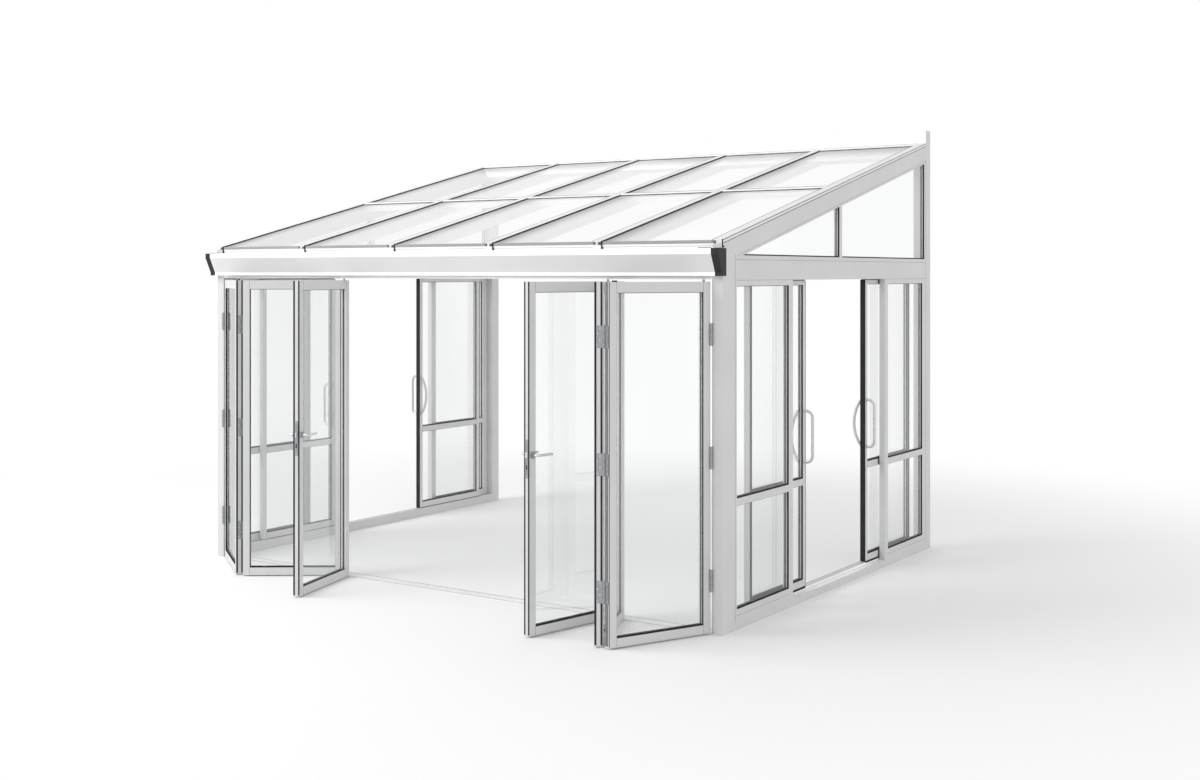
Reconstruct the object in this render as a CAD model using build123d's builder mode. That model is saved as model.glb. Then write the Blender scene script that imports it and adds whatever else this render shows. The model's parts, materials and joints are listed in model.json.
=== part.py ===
from build123d import *
import os
from math import acos, cos, degrees, radians, sin, tan

# A lean-to conservatory: X runs along the front, Y from the front to the house wall, Z up.
# The origin is on the ground, under the middle of the front threshold.

# Overall size
overall_width = 4400
overall_depth = 3360
wall_thickness = 100

# Heights: the front opening, and how far the leaves and the side openings end under its head
head_height = 2126
leaf_head_gap = 14
side_head_drop = 6

# Roof
roof_pitch = 14
rafter_height = 102
rafter_width = 62
rafter_nose = 10
bay_count = 5
cap_height = 26
cap_wing = 6
cap_stem = 16
pane_thickness = 16
pane_play = 2
bar_height = 40
bar_stem = 12
purlin_place = 1575
purlin_width = 60
ridge_bar_width = 84
ridge_bar_seat = 24
eaves_bar_width = 60
upstand_height = 126

# Corner posts
front_post_face = 70
front_post_return = 156
back_post_depth = 96

# Front beam, its height at the front face, and the threshold
front_beam_height = 113
threshold_height = 6
threshold_depth = 96
track_groove_width = 8
track_groove_depth = 4
track_groove_spacing = 30

# Gutter: how far its top lies under the rafter tops, and its height
gutter_drop = 29
gutter_height = 166
gutter_reach = 100
gutter_base_reach = 50
gutter_lip = 35
gutter_base_lip = 22
gutter_wall = 5
nose_gap = 3
end_cap_length = 50
end_cap_overhang = 25

# Side sills and transoms
sill_height = 71
sill_ledge_height = 50
transom_height = 126

# Fixed glazing of the sides and gables
fixed_thickness = 42
fixed_front_width = 782
fixed_back_width = 814
fixed_base = 87
fixed_bottom_rail = 38
fixed_top_rail = 35
meeting_stile = 60
front_jamb_bead = 20
back_jamb_bead = 74
mid_rail_base = 752
mid_rail_height = 45
gable_bead = 30
gable_bottom_rail = 26
gable_mullion = 44
gable_mullion_place = 1657

# Insulating glass units, held in grooves: their depth under the outer faces, and how far they go in
glass_thickness = 20
glass_recess = 12
glass_seat = 10

# Sliding leaves: a front one's leading edge is placed from the front face, a back one's from the back
slider_thickness = 38
slider_gap = 6
front_slider_width = 798
back_slider_width = 846
slider_stile = 36
slider_bottom_rail = 48
slider_top_rail = 29
slider_sill_gap = 5
slider_head_gap = 6
seat_clearance = 0.3
seal_thickness = 6
runner_length = 60
runner_width = 14
runner_inset = 120
right_front_edge = 1226
right_back_edge = 1157
left_front_edge = 1180
left_back_edge = 1125

# Pull handles
handle_height = 1075
handle_length = 340
handle_tube = 20
handle_inset = 18
grip_reach = 62
grip_corner = 45
bow_reach = 58
bow_overrun = 5

# Folding leaves: the angles by which the first leaf folds, the second returns and the last swings
leaf_count = 6
leaf_thickness = 48
leaf_stile = 48
leaf_bottom_rail = 54
leaf_top_rail = 62
leaf_base = 8
hinge_gap = 4
right_fold_angle = 65
right_return_angle = 67.5
right_swing_angle = 78.1
left_fold_angle = 35.2
left_return_angle = 34.8
left_swing_angle = 73.8

# Leaf hinges: the low and middle levels from the ground, the high one from the leaf's top
hinge_height = 130
hinge_barrel = 19.4
hinge_plate = 1.5
hinge_plate_width = 44
low_hinge_height = 323
middle_hinge_height = 1058
high_hinge_drop = 316

# Lever handles and lock plates of the last leaves
lever_height = 1084
lever_length = 120
lever_tube = 16
lever_reach = 45
lever_corner = 14
lever_play = 0.3
rose_diameter = 42
rose_thickness = 8
lock_plate_place = 1061
lock_plate_height = 230
lock_plate_width = 24
lock_plate_thickness = 2

# Places that several pieces share
front_face = -wall_thickness / 2
front_inner = front_face + wall_thickness
back_face = front_face + overall_depth
opening_front = front_face + front_post_return
opening_back = back_face - back_post_depth
side_face = overall_width / 2
side_inner = side_face - wall_thickness
post_inner = side_face - front_post_face
fixed_inner = side_face - fixed_thickness
slider_outer = fixed_inner - slider_gap
slider_inner = slider_outer - slider_thickness
transom_base = head_height - side_head_drop
slider_base = sill_height + slider_sill_gap
slider_top = transom_base - slider_head_gap
rafter_top_at_front = head_height + front_beam_height + rafter_height
gutter_top = rafter_top_at_front - gutter_drop
gutter_base = gutter_top - gutter_height
mid_rail_top = mid_rail_base + mid_rail_height
transom_top = transom_base + transom_height
leaf_top = head_height - leaf_head_gap
hinge_offset = hinge_barrel / 2 + seat_clearance
hinge_levels = (low_hinge_height, middle_hinge_height, leaf_top - high_hinge_drop)
leaf_width = (2 * post_inner - (leaf_count + 1) * hinge_gap) / leaf_count

slope = tan(radians(roof_pitch))
cap_seat = cap_height - cap_wing
pane_seat = cap_seat - pane_thickness
rafter_spacing = (overall_width - rafter_width) / bay_count
rafter_centres = [(i - bay_count / 2) * rafter_spacing for i in range(bay_count + 1)]
bays = list(zip(rafter_centres[:-1], rafter_centres[1:]))


def rafter_line(y, rise=0):
    """Height above the ground of the rafter tops at a place y, plus a rise."""
    return rafter_top_at_front + slope * (y - front_face) + rise


def side_plane(x):
    """The plane across the building at x: its own x runs to the back and its own y up."""
    return Plane(origin=(x, 0, 0), x_dir=(0, 1, 0), z_dir=(1, 0, 0))


def rectangles(areas, mode=Mode.ADD):
    """Rectangles in a sketch, each given as (u_low, u_high, v_low, v_high)."""
    for u_low, u_high, v_low, v_high in areas:
        with Locations(((u_low + u_high) / 2, (v_low + v_high) / 2)):
            Rectangle(u_high - u_low, v_high - v_low, mode=mode)


def outline(points, mode=Mode.ADD):
    """A closed straight-sided outline in a sketch."""
    Polygon(*points, align=None, mode=mode)


def save(part, label):
    """Label a finished piece and write it."""
    part.label = label
    export_step(part, f"parts/{label}.step")


def mirrored(part):
    """The same piece on the left."""
    with BuildPart() as left:
        mirror(part, about=Plane.YZ)
    return left.part


def save_pair(part, label):
    """Write a right-hand piece and its mirror image on the left."""
    save(part, f"right_{label}")
    save(mirrored(part), f"left_{label}")


def bar(section, x_spans):
    """Bars along X, one for each span. Their section is made of one or more (y, z) outlines."""
    with BuildPart() as bars:
        for x_low, x_high in x_spans:
            with BuildSketch(side_plane(x_low)):
                for points in section:
                    outline(points)
            extrude(amount=x_high - x_low)
    return bars.part


def pitched(y_low, y_high, rise_low, rise_high):
    """Corners (y, z) of a strip that follows the pitch between two rises over the rafter tops."""
    return [
        (y_low, rafter_line(y_low, rise_low)),
        (y_high, rafter_line(y_high, rise_low)),
        (y_high, rafter_line(y_high, rise_high)),
        (y_low, rafter_line(y_low, rise_high)),
    ]


def front_post():
    """Corner post at the front: an L in plan whose long leg carries the side wall, cut to the pitch."""
    with BuildPart() as post:
        with BuildSketch():
            rectangles([
                (post_inner, side_face, front_face, front_inner),
                (side_inner, side_face, front_inner, opening_front),
            ])
        extrude(amount=rafter_line(opening_front))
        rafter_foot = (0, front_face, rafter_line(front_face, -rafter_height))
        split(bisect_by=Plane(origin=rafter_foot, z_dir=(0, -slope, 1)), keep=Keep.BOTTOM)
    return post.part


def back_post():
    """Corner post at the house wall, up to the wall plate."""
    with BuildPart() as post:
        with BuildSketch():
            rectangles([(side_inner, side_face, opening_back, back_face)])
        extrude(amount=rafter_line(opening_back, -rafter_height))
    return post.part


def side_sill():
    """Sill of the side: the sliding track inside, a ledge outside and closers under the fixed panels."""
    length = (opening_front, opening_back)
    closer_ends = (
        (opening_front, opening_front + fixed_front_width - meeting_stile),
        (opening_back - fixed_back_width + meeting_stile, opening_back),
    )
    with BuildPart() as sill:
        with BuildSketch(side_plane(side_inner)):
            rectangles([(*length, 0, sill_height)])
        extrude(amount=slider_outer - side_inner)
        with BuildSketch(side_plane(slider_outer)):
            rectangles([(*length, 0, sill_ledge_height)])
        extrude(amount=side_face - slider_outer)
        with BuildSketch(side_plane(fixed_inner)):
            rectangles([(*ends, sill_ledge_height, fixed_base) for ends in closer_ends])
        extrude(amount=fixed_thickness)
    return sill.part


def transom():
    """Beam over the side doors."""
    with BuildPart() as beam:
        with BuildSketch(side_plane(side_inner)):
            rectangles([(opening_front, opening_back, transom_base, transom_top)])
        extrude(amount=wall_thickness)
    return beam.part


def threshold():
    """Low threshold of the folding doors, with two track grooves."""
    half = threshold_depth / 2
    near = (track_groove_spacing - track_groove_width) / 2
    far = (track_groove_spacing + track_groove_width) / 2
    groove_base = threshold_height - track_groove_depth
    grooves = [
        (-far, -near, groove_base, threshold_height),
        (near, far, groove_base, threshold_height),
    ]
    with BuildPart() as base:
        with BuildSketch(side_plane(-post_inner)):
            rectangles([(-half, half, 0, threshold_height)])
            rectangles(grooves, mode=Mode.SUBTRACT)
        extrude(amount=2 * post_inner)
    return base.part


def gutter_outline(inset=0):
    """Corners (y, z) of the gutter: an upright lip, a face that slopes back, and a lower lip."""
    front = front_face - gutter_reach + inset
    base_front = front_face - gutter_base_reach + inset
    rear = front_face - inset
    return [
        (front, gutter_top),
        (front, gutter_top - gutter_lip),
        (base_front, gutter_base + gutter_base_lip),
        (base_front, gutter_base + inset),
        (rear, gutter_base + inset),
        (rear, gutter_top),
    ]


def gutter():
    """The gutter between its end caps, open on top."""
    half = side_face + end_cap_overhang - end_cap_length
    with BuildPart() as trough:
        with BuildSketch(side_plane(-half)):
            outline(gutter_outline())
            outline(gutter_outline(gutter_wall), mode=Mode.SUBTRACT)
        extrude(amount=2 * half)
    return trough.part


def gutter_end_caps():
    """The two end caps: a plate with a skirt that carries the gutter's outline on."""
    half = side_face + end_cap_overhang
    with BuildPart() as caps:
        with BuildSketch(side_plane(half - end_cap_length)):
            outline(gutter_outline())
        extrude(amount=end_cap_length)
        with BuildSketch(side_plane(half - end_cap_length)):
            outline(gutter_outline(gutter_wall))
        extrude(amount=end_cap_length - gutter_wall, mode=Mode.SUBTRACT)
        mirror(about=Plane.YZ)
    return caps.part


def rafter(x):
    """A rafter from its nose over the gutter to the wall plate."""
    nose = front_face - rafter_nose
    nose_base = gutter_top + nose_gap
    points = [
        (front_face, rafter_line(front_face, -rafter_height)),
        (opening_back, rafter_line(opening_back, -rafter_height)),
        (opening_back, rafter_line(opening_back)),
        (nose, rafter_line(nose)),
        (nose, nose_base),
        (front_face, nose_base),
    ]
    return bar([points], [(x - rafter_width / 2, x + rafter_width / 2)])


def middle_rafters():
    """The rafters between the two end ones."""
    with BuildPart() as rafters:
        for x in rafter_centres[1:-1]:
            add(rafter(x))
    return rafters.part


def glazing_caps():
    """A cap on each rafter: a stem between the panes and a wing over their edges."""
    nose = front_face - rafter_nose
    half = rafter_width / 2
    with BuildPart() as caps:
        for x in rafter_centres:
            stem_low = x - half if x == rafter_centres[0] else x - cap_stem / 2
            stem_high = x + half if x == rafter_centres[-1] else x + cap_stem / 2
            with BuildSketch(side_plane(stem_low)):
                outline(pitched(nose, opening_back, 0, cap_seat))
            extrude(amount=stem_high - stem_low)
            with BuildSketch(side_plane(x - half)):
                outline(pitched(nose, opening_back, cap_seat, cap_height))
            extrude(amount=rafter_width)
    return caps.part


def between_rafters():
    """The clear X spans between neighbouring rafters."""
    return [(low + rafter_width / 2, high - rafter_width / 2) for low, high in bays]


def purlins():
    """Glazing bars half way up the roof: a body below the panes, a stem and a cover above."""
    y_low = front_face + purlin_place - purlin_width / 2
    y_high = y_low + purlin_width
    stem_low = y_low + (purlin_width - bar_stem) / 2
    stem_high = stem_low + bar_stem
    section = [
        pitched(y_low, y_high, -bar_height, pane_seat),
        pitched(stem_low, stem_high, pane_seat, cap_seat),
        pitched(y_low, y_high, cap_seat, cap_height),
    ]
    return bar(section, between_rafters())


def ridge_bars():
    """Glazing bars at the house wall: the panes end in a seat under their front edge."""
    y_low = opening_back - ridge_bar_width
    seat = y_low + ridge_bar_seat
    section = [
        pitched(y_low, opening_back, -bar_height, pane_seat),
        pitched(seat, opening_back, pane_seat, cap_seat),
        pitched(y_low, opening_back, cap_seat, cap_height),
    ]
    return bar(section, between_rafters())


def eaves_bars():
    """Bars between the rafters that carry the panes over the front beam."""
    points = pitched(front_face, front_face + eaves_bar_width, -rafter_height, pane_seat)
    return bar([points], between_rafters())


def roof_glass():
    """Two panes in each bay, below and above the purlin."""
    stem = bar_stem / 2 + pane_play
    purlin_middle = front_face + purlin_place
    ends = (
        (front_face, purlin_middle - stem),
        (purlin_middle + stem, opening_back - ridge_bar_width + ridge_bar_seat - pane_play),
    )
    side_play = cap_stem / 2 + pane_play
    with BuildPart() as panes:
        for low, high in bays:
            for y_low, y_high in ends:
                with BuildSketch(side_plane(low + side_play)):
                    outline(pitched(y_low, y_high, pane_seat, cap_seat))
                extrude(amount=high - low - 2 * side_play)
    return panes.part


def front_beam():
    """Beam over the folding doors, its top cut to the pitch."""
    points = [
        (front_face, head_height),
        (front_inner, head_height),
        (front_inner, rafter_line(front_inner, -rafter_height)),
        (front_face, rafter_line(front_face, -rafter_height)),
    ]
    return bar([points], [(-post_inner, post_inner)])


def wall_plate():
    """Plate along the house wall, with an upstand above the roof."""
    with BuildPart() as plate:
        with BuildSketch(side_plane(-side_face)):
            base = rafter_line(opening_back, -rafter_height)
            top = rafter_line(opening_back, upstand_height)
            rectangles([(opening_back, back_face, base, top)])
        extrude(amount=overall_width)
    return plate.part


def glass_depth(thickness):
    """How far the glass starts from the inner face of a frame of the sides."""
    return thickness - glass_recess - glass_thickness


def panel(plane, thickness, solids, panes, depth):
    """A flat glazed frame: its bars, and the panes in grooves that start at a depth over the plane."""
    seats = [
        (u_low - glass_seat, u_high + glass_seat, v_low - glass_seat, v_high + glass_seat)
        for u_low, u_high, v_low, v_high in panes
    ]
    with BuildPart() as glass:
        with BuildSketch(plane.offset(depth)):
            rectangles(seats)
        extrude(amount=glass_thickness)
    with BuildPart() as frame:
        with BuildSketch(plane):
            rectangles(solids)
            rectangles(panes, mode=Mode.SUBTRACT)
        extrude(amount=thickness)
        add(glass.part, mode=Mode.SUBTRACT)
    return frame.part, glass.part


def two_panes(u_low, u_high, v_low, v_high):
    """The areas below and above the mid rail."""
    return [(u_low, u_high, v_low, mid_rail_base), (u_low, u_high, mid_rail_top, v_high)]


def front_fixed_panel():
    """Fixed panel beside the front post, with the stile that the sliding leaf passes."""
    end = opening_front + fixed_front_width
    solids = [
        (opening_front, end, fixed_base, transom_base),
        (end - meeting_stile, end, sill_ledge_height, transom_base),
    ]
    panes = two_panes(
        opening_front + front_jamb_bead,
        end - meeting_stile,
        fixed_base + fixed_bottom_rail,
        transom_base - fixed_top_rail,
    )
    return panel(side_plane(fixed_inner), fixed_thickness, solids, panes, glass_depth(fixed_thickness))


def back_fixed_panel():
    """Fixed panel beside the back post, with the stile that the sliding leaf passes."""
    start = opening_back - fixed_back_width
    solids = [
        (start, opening_back, fixed_base, transom_base),
        (start, start + meeting_stile, sill_ledge_height, transom_base),
    ]
    panes = two_panes(
        start + meeting_stile,
        opening_back - back_jamb_bead,
        fixed_base + fixed_bottom_rail,
        transom_base - fixed_top_rail,
    )
    return panel(side_plane(fixed_inner), fixed_thickness, solids, panes, glass_depth(fixed_thickness))


def gable():
    """Glazed gable over the transom: a frame with one mullion, and its two panes."""
    glass_base = transom_top + gable_bottom_rail
    glass_rise = -rafter_height - gable_bead
    tip = front_face + (glass_base - rafter_line(front_face, glass_rise)) / slope
    mullion_front = front_face + gable_mullion_place
    mullion_back = mullion_front + gable_mullion
    glass_back = opening_back - gable_bead
    border = [
        (opening_front, transom_top),
        (opening_back, transom_top),
        (opening_back, rafter_line(opening_back, -rafter_height)),
        (opening_front, rafter_line(opening_front, -rafter_height)),
    ]
    panes = [
        [
            (tip, glass_base),
            (mullion_front, glass_base),
            (mullion_front, rafter_line(mullion_front, glass_rise)),
        ],
        [
            (mullion_back, glass_base),
            (glass_back, glass_base),
            (glass_back, rafter_line(glass_back, glass_rise)),
            (mullion_back, rafter_line(mullion_back, glass_rise)),
        ],
    ]
    with BuildPart() as frame:
        with BuildSketch(side_plane(fixed_inner)):
            outline(border)
            for pane in panes:
                outline(pane, mode=Mode.SUBTRACT)
        extrude(amount=fixed_thickness)
    with BuildPart() as glass:
        with BuildSketch(side_plane(fixed_inner + glass_depth(fixed_thickness))):
            for pane in panes:
                outline(pane)
        extrude(amount=glass_thickness)
    return frame.part, glass.part


def slider(leading, width, toward):
    """A sliding leaf of the right side; toward is 1 if it closes to the back, -1 to the front."""
    seal_back = leading - toward * seal_thickness
    rear = leading - toward * width
    y_low, y_high = sorted((seal_back, rear))
    panes = two_panes(
        y_low + slider_stile,
        y_high - slider_stile,
        slider_base + slider_bottom_rail,
        slider_top - slider_top_rail,
    )
    solids = [(y_low, y_high, slider_base, slider_top)]
    inner = side_plane(slider_inner)
    leaf, glass = panel(inner, slider_thickness, solids, panes, glass_depth(slider_thickness))
    runner_low = (sill_height + seat_clearance, slider_base)
    runner_high = (slider_top, transom_base - seat_clearance)
    with BuildPart() as frame:
        add(leaf)
        with BuildSketch(side_plane(slider_inner + (slider_thickness - runner_width) / 2)):
            for y in (y_low + runner_inset, y_high - runner_inset):
                for z_low, z_high in (runner_low, runner_high):
                    rectangles([(y - runner_length / 2, y + runner_length / 2, z_low, z_high)])
        extrude(amount=runner_width)
    with BuildPart() as seal:
        with BuildSketch(side_plane(slider_inner)):
            rectangles([(*sorted((seal_back, leading)), slider_base, slider_top)])
        extrude(amount=slider_thickness)
    return frame.part, glass, seal.part, pull_handles(seal_back - toward * handle_inset)


def pull_handles(y):
    """The pair of pull handles on a leading stile: a straight grip outside and a bow inside."""
    z_low = handle_height - handle_length / 2
    z_high = handle_height + handle_length / 2
    upright = Plane(origin=(0, y, 0), x_dir=(1, 0, 0), z_dir=(0, -1, 0))
    bow_radius = ((handle_length / 2) ** 2 + bow_reach**2) / (2 * bow_reach)
    bow_middle = slider_inner - bow_reach + bow_radius
    bow_half = degrees(acos((bow_radius - bow_reach) / bow_radius)) + bow_overrun
    with BuildPart() as handles:
        with BuildLine(upright) as grip:
            FilletPolyline(
                (slider_outer, z_low),
                (slider_outer + grip_reach, z_low),
                (slider_outer + grip_reach, z_high),
                (slider_outer, z_high),
                radius=grip_corner,
            )
        with BuildSketch(Plane(origin=grip.line @ 0, z_dir=grip.line % 0)):
            Circle(handle_tube / 2)
        sweep(path=grip.line)
    with BuildPart() as bow:
        with BuildLine(upright) as arc:
            CenterArc((bow_middle, handle_height), bow_radius, 180 - bow_half, 2 * bow_half)
        with BuildSketch(Plane(origin=arc.line @ 0, z_dir=arc.line % 0)):
            Circle(handle_tube / 2)
        sweep(path=arc.line)
        split(bisect_by=Plane(origin=(slider_inner, 0, 0), z_dir=(-1, 0, 0)), keep=Keep.TOP)
    with BuildPart() as pair:
        add(handles.part)
        add(bow.part)
    return pair.part


def leaf_directions(angle, returning):
    """Plan directions of a right-hand leaf: along it from its first edge, and from outside to inside."""
    c = cos(radians(angle))
    s = sin(radians(angle))
    if returning:
        return Vector(-c, s), Vector(s, c)
    return Vector(-c, -s), Vector(-s, c)


def fold(fold_angle, return_angle, swing_angle):
    """Where the three leaves of the right-hand group stand: knuckles, and (corner, along, inward)."""
    along_1, inward_1 = leaf_directions(fold_angle, False)
    along_2, inward_2 = leaf_directions(return_angle, True)
    along_3, inward_3 = leaf_directions(swing_angle, False)
    half_gap = hinge_gap / 2
    post_knuckle = Vector(post_inner - half_gap, front_face - hinge_offset)
    corner_1 = post_knuckle + along_1 * half_gap + inward_1 * hinge_offset
    behind = leaf_thickness + hinge_offset
    fold_knuckle = corner_1 + along_1 * (leaf_width + half_gap) + inward_1 * behind
    corner_2 = fold_knuckle + along_2 * half_gap - inward_2 * behind
    track_knuckle = corner_2 + along_2 * (leaf_width + half_gap) - inward_2 * hinge_offset
    corner_3 = track_knuckle + along_3 * half_gap + inward_3 * hinge_offset
    leaves = [
        (corner_1, along_1, inward_1),
        (corner_2, along_2, inward_2),
        (corner_3, along_3, inward_3),
    ]
    wings = [
        (post_knuckle, (Vector(1, 0), Vector(0, 1)), (along_1, inward_1)),
        (fold_knuckle, (-along_1, -inward_1), (along_2, -inward_2)),
        (track_knuckle, (-along_2, inward_2), (along_3, inward_3)),
    ]
    return leaves, wings


def folding_leaf(corner, along, inward):
    """A folding leaf with one full-height pane."""
    plane = Plane(origin=corner, x_dir=along, z_dir=inward)
    solids = [(0, leaf_width, leaf_base, leaf_top)]
    pane_base = leaf_base + leaf_bottom_rail
    pane_top = leaf_top - leaf_top_rail
    panes = [(leaf_stile, leaf_width - leaf_stile, pane_base, pane_top)]
    return panel(plane, leaf_thickness, solids, panes, glass_recess)


def hinges(wings):
    """The hinges of one group: a barrel outside the faces and a plate on each edge that it joins."""
    near = hinge_gap / 2 - hinge_plate
    far = hinge_gap / 2
    with BuildPart() as pins:
        for level in hinge_levels:
            with BuildSketch(Plane.XY.offset(level - hinge_height / 2)):
                for knuckle, *sides in wings:
                    with Locations(knuckle):
                        Circle(hinge_barrel / 2)
                    for along, inward in sides:
                        reach = inward * (hinge_offset + hinge_plate_width)
                        corners = [along * near, along * far, along * far + reach, along * near + reach]
                        outline([knuckle + corner for corner in corners])
            extrude(amount=hinge_height)
    return pins.part


def lever_handle(corner, along, inward):
    """The two levers of a last leaf on their common spindle, which passes through the stile."""
    with BuildPart() as lever:
        for face, outward in ((0, 1), (leaf_thickness, -1)):
            middle = leaf_thickness / 2 if outward == 1 else -leaf_thickness / 2
            start = corner + along * (leaf_width - leaf_stile / 2) + inward * face
            level = Plane(origin=(start.X, start.Y, lever_height), x_dir=along, z_dir=(0, 0, 1))
            with BuildLine(level) as path:
                FilletPolyline(
                    (0, -middle),
                    (0, outward * lever_reach),
                    (-lever_length, outward * lever_reach),
                    radius=lever_corner,
                )
            with BuildSketch(Plane(origin=path.line @ 0, z_dir=path.line % 0)):
                Circle(lever_tube / 2)
            sweep(path=path.line)
    return lever.part


def lock_furniture(corner, along, inward):
    """The roses round the spindle on both faces, and the lock plate on the free edge."""
    plane = Plane(origin=corner, x_dir=along, z_dir=inward)
    plate = (
        leaf_width,
        leaf_width + lock_plate_thickness,
        lock_plate_place - lock_plate_height / 2,
        lock_plate_place + lock_plate_height / 2,
    )
    with BuildPart() as furniture:
        for face, outward in ((0, 1), (leaf_thickness, -1)):
            with BuildSketch(plane.offset(face)):
                with Locations((leaf_width - leaf_stile / 2, lever_height)):
                    Circle(rose_diameter / 2)
                    Circle(lever_tube / 2 + lever_play, mode=Mode.SUBTRACT)
            extrude(amount=-outward * rose_thickness)
        with BuildSketch(plane.offset((leaf_thickness - lock_plate_width) / 2)):
            rectangles([plate])
        extrude(amount=lock_plate_width)
    return furniture.part


def bored_for_lever(frame, corner, along, inward):
    """A last leaf with the hole for its spindle."""
    with BuildPart() as leaf:
        add(frame)
        with BuildSketch(Plane(origin=corner, x_dir=along, z_dir=inward)):
            with Locations((leaf_width - leaf_stile / 2, lever_height)):
                Circle(lever_tube / 2 + lever_play)
        extrude(amount=leaf_thickness, mode=Mode.SUBTRACT)
    return leaf.part


def folding_group(angles):
    """Every piece of one group of folding leaves, on the right-hand side."""
    leaves, wings = fold(*angles)
    pieces = {}
    with BuildPart() as glass:
        for number, place in enumerate(leaves, 1):
            frame, pane = folding_leaf(*place)
            pieces[f"folding_leaf_{number}"] = frame
            add(pane)
    last = f"folding_leaf_{len(leaves)}"
    pieces[last] = bored_for_lever(pieces[last], *leaves[-1])
    pieces["folding_glass"] = glass.part
    pieces["leaf_hinges"] = hinges(wings)
    pieces["lever_handle"] = lever_handle(*leaves[-1])
    pieces["lock_furniture"] = lock_furniture(*leaves[-1])
    return pieces


os.makedirs("parts", exist_ok=True)

# The frame on the ground
save_pair(front_post(), "front_post")
save_pair(back_post(), "back_post")
save_pair(side_sill(), "sill")
save_pair(transom(), "transom")
save(threshold(), "front_threshold")
save(front_beam(), "front_beam")
save(wall_plate(), "wall_plate")

# The roof and its gutter
save_pair(rafter(rafter_centres[-1]), "end_rafter")
save(middle_rafters(), "middle_rafters")
save(glazing_caps(), "glazing_caps")
save(purlins(), "purlins")
save(ridge_bars(), "ridge_bars")
save(eaves_bars(), "eaves_bars")
save(roof_glass(), "roof_glass")
save(gutter(), "gutter")
save(gutter_end_caps(), "gutter_end_caps")

# Fixed glazing of the sides and gables
front_fixed, front_fixed_glass = front_fixed_panel()
back_fixed, back_fixed_glass = back_fixed_panel()
gable_frame, gable_glass = gable()
save_pair(front_fixed, "front_fixed_frame")
save_pair(back_fixed, "back_fixed_frame")
save_pair(gable_frame, "gable_frame")
with BuildPart() as side_glass:
    for panes in (front_fixed_glass, back_fixed_glass, gable_glass):
        add(panes)
save_pair(side_glass.part, "side_glass")

# Sliding leaves: two on each side, drawn apart
sliders = {
    "right_front": (front_face + right_front_edge, front_slider_width, 1),
    "right_back": (back_face - right_back_edge, back_slider_width, -1),
    "left_front": (front_face + left_front_edge, front_slider_width, 1),
    "left_back": (back_face - left_back_edge, back_slider_width, -1),
}
for name, place in sliders.items():
    pieces = slider(*place)
    if name.startswith("left"):
        pieces = [mirrored(piece) for piece in pieces]
    for piece, kind in zip(pieces, ("frame", "glass", "seal", "handles")):
        save(piece, f"{name}_slider_{kind}")

# Folding leaves: three on each side, part folded
right_angles = (right_fold_angle, right_return_angle, right_swing_angle)
left_angles = (left_fold_angle, left_return_angle, left_swing_angle)
for kind, piece in folding_group(right_angles).items():
    save(piece, f"right_{kind}")
for kind, piece in folding_group(left_angles).items():
    save(mirrored(piece), f"left_{kind}")
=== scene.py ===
import json
import math

import bmesh
import bpy
from mathutils import Matrix, Vector


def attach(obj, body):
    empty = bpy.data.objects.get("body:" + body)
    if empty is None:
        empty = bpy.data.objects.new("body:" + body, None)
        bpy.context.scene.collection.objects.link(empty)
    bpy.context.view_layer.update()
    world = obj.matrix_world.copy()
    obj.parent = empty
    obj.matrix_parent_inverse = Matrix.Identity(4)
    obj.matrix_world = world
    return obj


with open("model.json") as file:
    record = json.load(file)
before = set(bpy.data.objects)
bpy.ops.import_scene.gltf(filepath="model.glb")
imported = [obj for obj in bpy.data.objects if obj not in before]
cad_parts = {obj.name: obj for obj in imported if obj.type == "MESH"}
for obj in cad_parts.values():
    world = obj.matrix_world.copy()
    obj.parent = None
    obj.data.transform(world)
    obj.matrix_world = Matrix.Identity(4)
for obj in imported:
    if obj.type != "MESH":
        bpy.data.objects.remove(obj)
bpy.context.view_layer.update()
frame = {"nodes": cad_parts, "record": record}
nodes = frame["nodes"]

GLASS_NODES = [name for name in nodes if name.endswith("glass") and name != "roof_glass"]
WHITE_NODES = (
    "purlins",
    "ridge_bars",
    "eaves_bars",
    "wall_plate",
    "gutter",
    "middle_rafters",
    "front_beam",
)

# The distance between the middles of the rafters. All lengths are in metres
BAY = 0.8676

# The range that a noise value mostly keeps to
NOISE_RANGE = (0.3, 0.7)

# Surface detail, each as the scale and the detail of its noise
COAT_MOTTLE = (2.6, 5)
COAT_GLOSS = (23, 3)
COAT_PEEL = (650, 2)
MATT_MOTTLE = (9, 4)
GLASS_CLOUDS = (0.9, 3)
GLASS_GLOSS = (4, 2)
# The uneven patches of the painted shade on the roof panes
PAINTED_SHADE_PATCHES = (2.2, 3)
METAL_DETAIL = 3
GLASS_STRETCH = (1, 1, 0.35)

# How far the detail darkens and lightens a colour
COAT_SHADES = (0.965, 1.03)
METAL_SHADES = (0.9, 1.08)
MATT_SHADES = (0.85, 1.15)

# How uneven the roughness is: added and taken off, or as factors for metal
COAT_UNEVEN = 0.06
MATT_UNEVEN = 0.08
METAL_UNEVEN = (0.7, 1.3)
GLASS_ROUGHNESS = (0.02, 0.06)

# The gloss of matt surfaces changes in patches this many times larger than their grain
MATT_PATCH = 4

# Bumps, each as a distance and a strength
COAT_BUMP = (0.0004, 0.25)
METAL_BUMP = (0.0002, 0.12)
MATT_BUMP = (0.0003, 0.3)

COAT_SPECULAR = 0.4
MATT_SPECULAR = 0.15

# Painted shade on the roof panes, darker to the right of each cap and under the ridge: its reach from a
# rafter's middle, its start and end under the ridge, and its cover
PAINTED_SHADE_SIDE = (0.030, 0.230)
PAINTED_SHADE_TOP = (2.65, 3.18)
PAINTED_SHADE_COVER = (0.40, 0.58)
PAINTED_SHADE_COLOUR = (0.22, 0.22, 0.22, 1)

# This many bays are added across, so that the remainder is 0 at each rafter and nothing is negative
BAYS_ADDED = 4.5

WHITE = (1, 1, 1, 1)


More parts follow.
